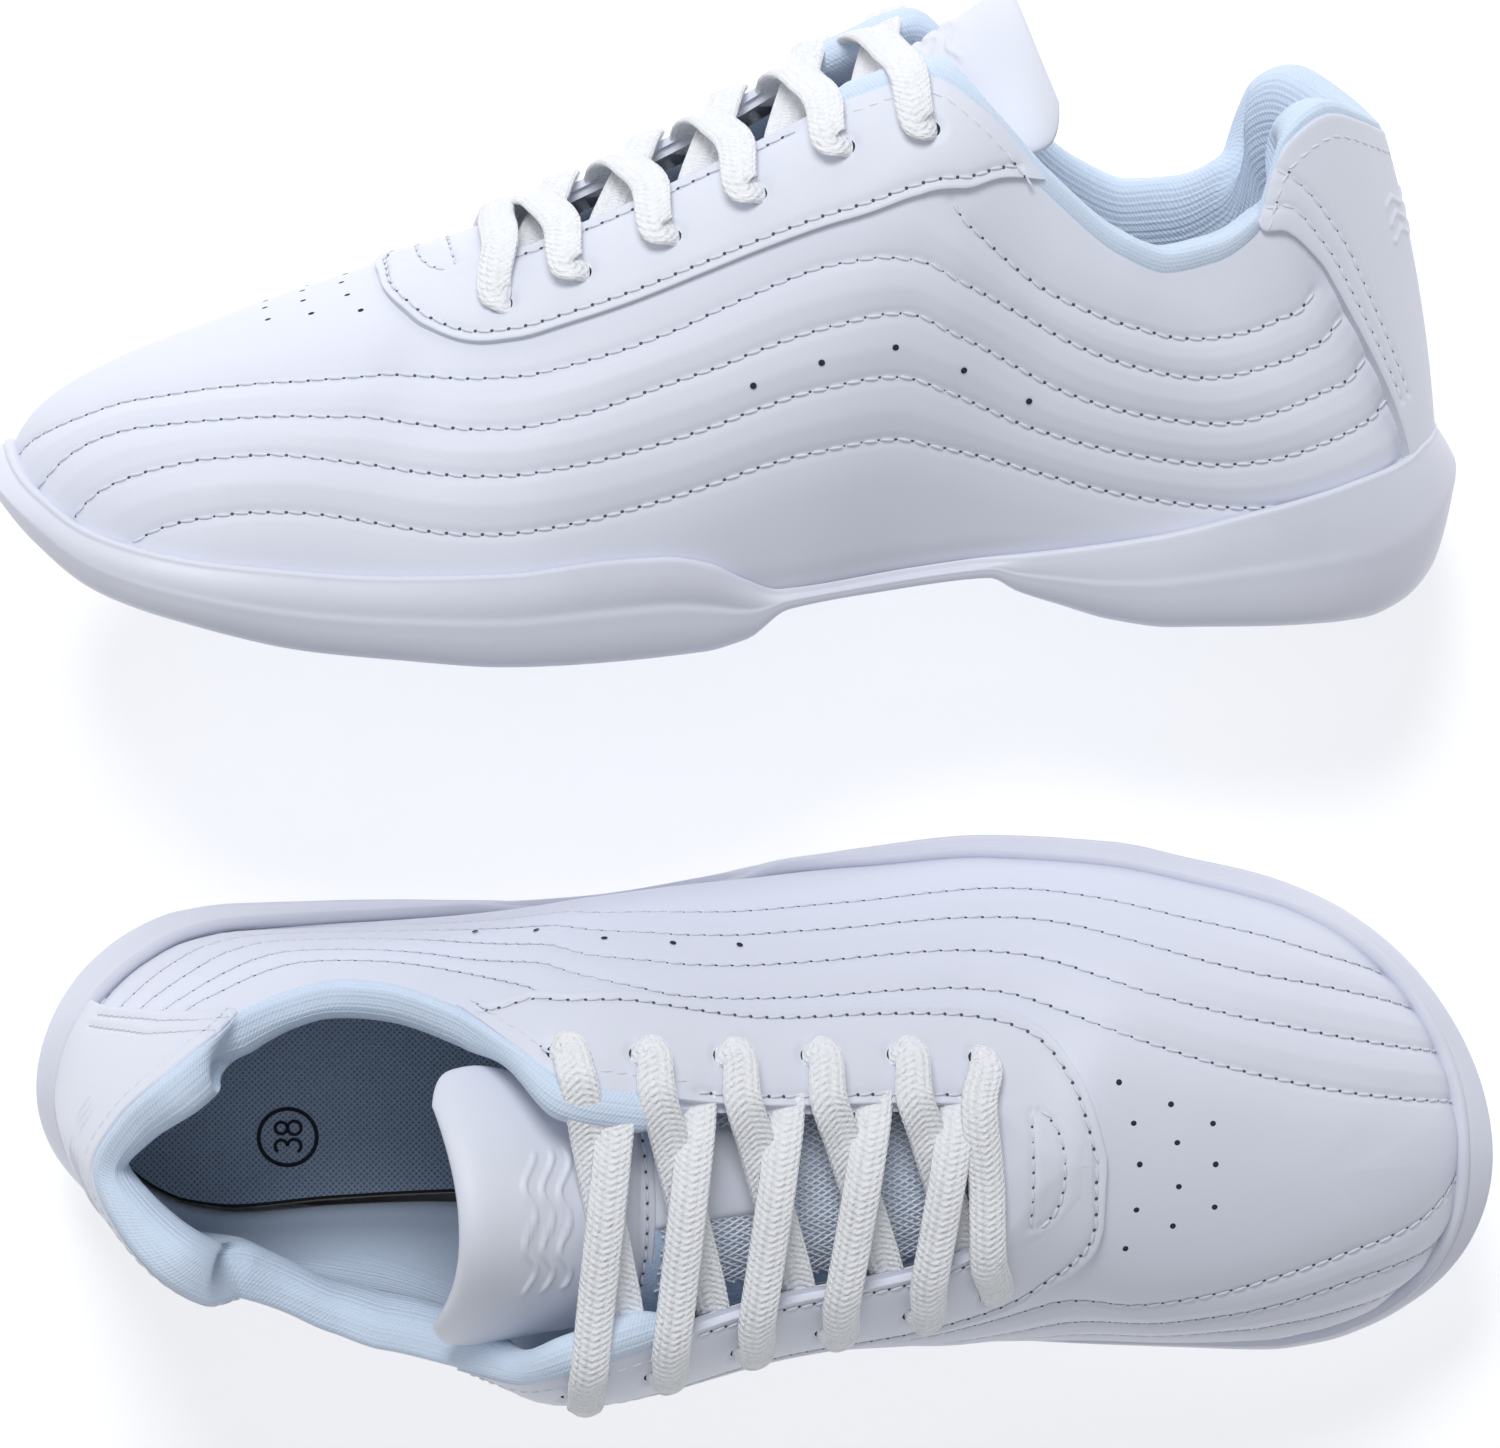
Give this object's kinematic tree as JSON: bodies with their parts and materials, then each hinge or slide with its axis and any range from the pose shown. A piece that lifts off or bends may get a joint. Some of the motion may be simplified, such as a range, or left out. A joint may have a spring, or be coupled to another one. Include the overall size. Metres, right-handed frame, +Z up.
{
  "type": "cheer shoes",
  "caption": "Pair of white low-cut lace-up cheer shoes with split moulded sole, padded collar and tongue; one stands, one lies on its side.",
  "frame": {"origin": "on the floor plane, at the mount left_heel_rest: in the ground face of the standing left shoe's heel tread, on the heel centre line, 40 mm in front of the back of the sole", "axes": "+X from heel to toe of the standing left shoe, +Y towards its outer side and the tipped right shoe, +Z up"},
  "size_m": [0.276, 0.2593, 0.114],
  "materials": {
    "upper_leather": "soft white synthetic leather, fine grain, low gloss",
    "overlay_leather": "white synthetic leather, fine grain, low gloss",
    "sole": "smooth white moulded sole, satin",
    "tread": "white rubber tread, matt",
    "shank": "moulded arch stiffener",
    "board": "pressed fibre insole board",
    "sockliner": "grey-blue lattice-woven top cloth over foam",
    "stiffener": "thermoformed stiffener sheet",
    "foam": "soft open-cell padding foam",
    "lining": "pale blue ribbed textile lining",
    "tongue_mesh": "pale blue honeycomb mesh with white strands",
    "lace": "flat woven white lace"
  },
  "bodies": {
    "left_shoe": {"left_heel_sole": "sole", "left_arch_band": "sole", "left_ball_sole": "sole", "left_heel_tread": "tread", "left_ball_tread": "tread", "left_shank": "shank", "left_insole_board": "board", "left_quarter_lateral": "upper_leather", "left_quarter_medial": "upper_leather", "left_vamp_flex_zone": "upper_leather", "left_eyestay": "overlay_leather", "left_heel_cover": "overlay_leather", "left_heel_counter": "stiffener", "left_collar_padding": "foam", "left_collar_lining": "lining", "left_quarter_lining": "lining", "left_tongue_base": "tongue_mesh", "left_tongue_patch": "overlay_leather", "left_lace": "lace"},
    "left_forefoot": {"left_toe_sole": "sole", "left_toe_tread": "tread", "left_toe_board": "board", "left_vamp_toe": "upper_leather", "left_toe_puff": "stiffener", "left_sockliner_toe": "sockliner"},
    "left_tongue_flap": {"left_tongue_face": "overlay_leather", "left_tongue_padding": "foam", "left_tongue_back": "lining"},
    "left_sockliner": {"left_sockliner": "sockliner"},
    "right_shoe": {"right_heel_sole": "sole", "right_arch_band": "sole", "right_ball_sole": "sole", "right_heel_tread": "tread", "right_ball_tread": "tread", "right_shank": "shank", "right_insole_board": "board", "right_quarter_lateral": "upper_leather", "right_quarter_medial": "upper_leather", "right_vamp_flex_zone": "upper_leather", "right_eyestay": "overlay_leather", "right_heel_cover": "overlay_leather", "right_heel_counter": "stiffener", "right_collar_padding": "foam", "right_collar_lining": "lining", "right_quarter_lining": "lining", "right_tongue_base": "tongue_mesh", "right_tongue_patch": "overlay_leather", "right_lace": "lace"},
    "right_forefoot": {"right_toe_sole": "sole", "right_toe_tread": "tread", "right_toe_board": "board", "right_vamp_toe": "upper_leather", "right_toe_puff": "stiffener", "right_sockliner_toe": "sockliner"},
    "right_tongue_flap": {"right_tongue_face": "overlay_leather", "right_tongue_padding": "foam", "right_tongue_back": "lining"},
    "right_sockliner": {"right_sockliner": "sockliner"}
  },
  "joints": [
    {"name": "left_toe_flex", "type": "hinge", "parent": "left_shoe", "child": "left_forefoot", "pos_m": [0.168, 0, 0.022], "axis": [0, -1, 0], "range_deg": [0, 40], "stiffness_Nm_per_rad": 0.5, "deforming": ["left_vamp_flex_zone"]},
    {"name": "left_tongue_fold", "type": "hinge", "parent": "left_shoe", "child": "left_tongue_flap", "pos_m": [0.0583, 0, 0.104], "axis": [0, 1, 0], "range_deg": [-8, 30]},
    {"name": "left_sockliner_lift", "type": "hinge", "parent": "left_shoe", "child": "left_sockliner", "pos_m": [0.159, 0, 0.017], "axis": [0, 1, 0], "range_deg": [0, 4]},
    {"name": "right_shoe_roll", "type": "hinge", "parent": "left_shoe", "child": "right_shoe", "pos_m": [0.09, 0.12578, 0.031], "axis": [1, 0.0088, 0], "range_deg": [0, 87.95]},
    {"name": "right_toe_flex", "type": "hinge", "parent": "right_shoe", "child": "right_forefoot", "pos_m": [0.01475, 0.11546, 0.04939], "axis": [-0.0947, 0.0347, -0.9949], "range_deg": [0, 40], "stiffness_Nm_per_rad": 0.5, "deforming": ["right_vamp_flex_zone"]},
    {"name": "right_tongue_fold", "type": "hinge", "parent": "right_shoe", "child": "right_tongue_flap", "pos_m": [0.12323, 0.19873, 0.04198], "axis": [0.0947, -0.0347, 0.9949], "range_deg": [-8, 30]},
    {"name": "right_sockliner_lift", "type": "hinge", "parent": "right_shoe", "child": "right_sockliner", "pos_m": [0.02375, 0.11057, 0.04837], "axis": [0.0947, -0.0347, 0.9949], "range_deg": [0, 4]}
  ]
}
